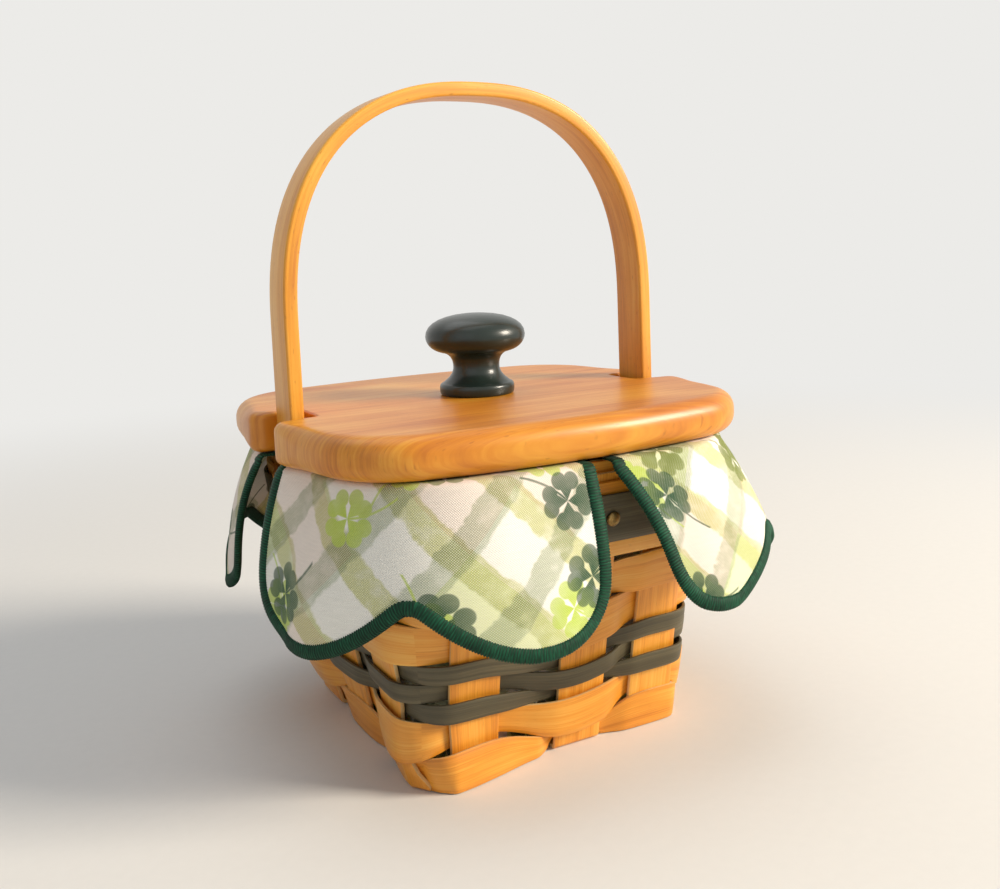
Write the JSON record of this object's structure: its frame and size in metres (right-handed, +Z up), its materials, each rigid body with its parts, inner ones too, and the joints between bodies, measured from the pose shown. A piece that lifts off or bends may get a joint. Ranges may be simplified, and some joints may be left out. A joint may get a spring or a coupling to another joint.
{
  "type": "lidded woven basket",
  "caption": "Small square woven splint basket with a bentwood arch handle, a notched board lid with a turned knob, and a cloth liner with scalloped flaps over the rim.",
  "frame": {"origin": "middle of the woven base, on the surface the basket stands on", "axes": "+Z up, X through both legs of the handle, Y from the face with the drawn-back flap to the far face"},
  "size_m": [0.1795, 0.1745, 0.2205],
  "materials": {
    "splint_wood": "natural splint, clear satin",
    "stained_splint": "dark grey-green stain",
    "handle_wood": "clear satin",
    "lid_wood": "clear satin",
    "knob_paint": "dark green semi-gloss paint",
    "liner_cloth": "printed plain-weave cotton",
    "edging_thread": "dense overlocked thread",
    "tack_brass": "satin"
  },
  "bodies": {
    "basket": {"natural_row_1": "splint_wood", "natural_row_2": "splint_wood", "natural_row_3": "splint_wood", "natural_row_4": "splint_wood", "inner_rim_band": "splint_wood", "outer_rim_band": "splint_wood", "splint_front_to_back_1": "splint_wood", "splint_front_to_back_2": "splint_wood", "splint_front_to_back_3": "splint_wood", "splint_side_to_side_1": "splint_wood", "splint_side_to_side_2": "splint_wood", "splint_side_to_side_3": "splint_wood", "stained_strip_1": "stained_splint", "stained_strip_2": "stained_splint", "stained_strip_3": "stained_splint", "rim_trim": "stained_splint", "handle": "handle_wood", "tack_1": "tack_brass", "tack_2": "tack_brass", "tack_3": "tack_brass", "tack_4": "tack_brass", "tack_5": "tack_brass", "tack_6": "tack_brass", "tack_7": "tack_brass", "tack_8": "tack_brass", "liner_pouch": "liner_cloth", "flap_near": "liner_cloth", "flap_right": "liner_cloth", "flap_far": "liner_cloth", "flap_left": "liner_cloth", "edging_near": "edging_thread", "edging_right": "edging_thread", "edging_far": "edging_thread", "edging_left": "edging_thread"},
    "lid": {"lid": "lid_wood", "knob": "knob_paint", "knob_screw": "tack_brass"}
  },
  "joints": [
    {"name": "lid_lift", "type": "slide", "parent": "basket", "child": "lid", "axis": [0, 0, 1], "range_m": [0, 0.055]}
  ]
}
